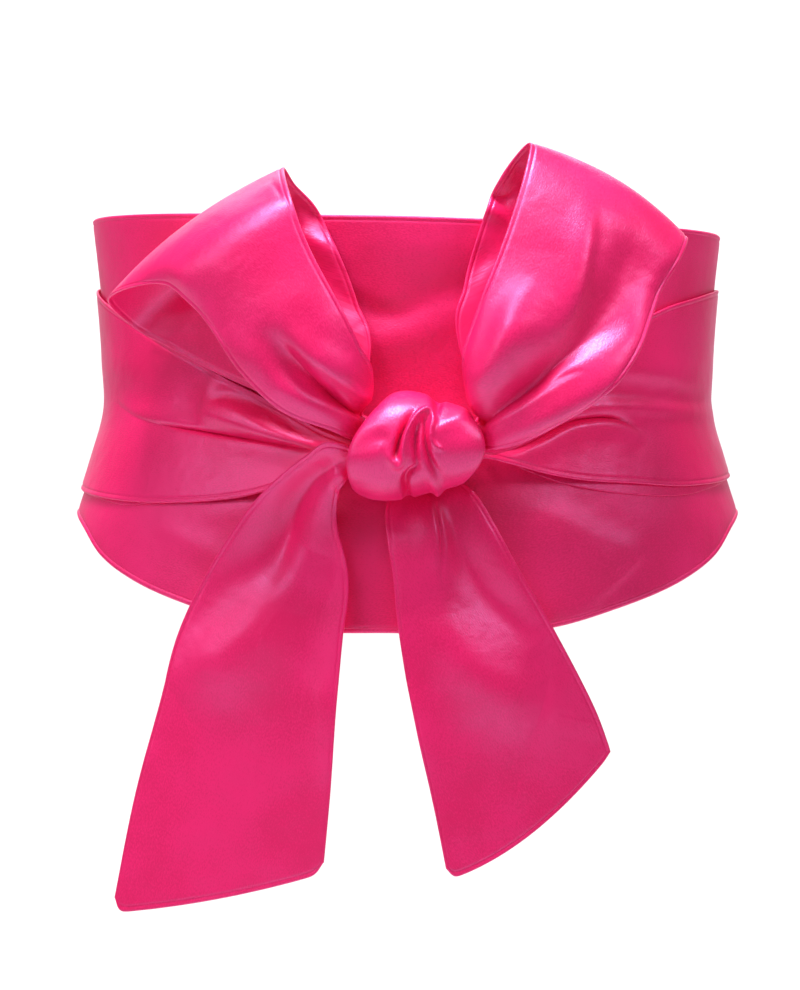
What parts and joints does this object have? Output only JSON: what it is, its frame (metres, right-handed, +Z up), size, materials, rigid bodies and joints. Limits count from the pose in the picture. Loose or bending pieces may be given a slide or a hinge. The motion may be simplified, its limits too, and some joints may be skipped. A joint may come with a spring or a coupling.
{
  "type": "satin waist sash",
  "caption": "Wide satin waist sash, worn form: a shaped front panel, wrapped ties, and a knotted bow with loops and hanging tails in front.",
  "frame": {"origin": "middle of the waist opening, at the height where the sash is drawn in most", "axes": "+Z up along the wearer's body, -Y to the front where the bow is, +X to the right of someone who looks at the bow"},
  "size_m": [0.283, 0.2498, 0.3102],
  "materials": {
    "panel_satin": "satin",
    "tie_satin": "satin"
  },
  "bodies": {
    "root": {"front_panel": "panel_satin", "wrap_left": "tie_satin", "wrap_right": "tie_satin", "loop_left": "tie_satin", "loop_right": "tie_satin", "tail_left": "tie_satin", "tail_right": "tie_satin", "knot": "tie_satin"}
  },
  "joints": []
}
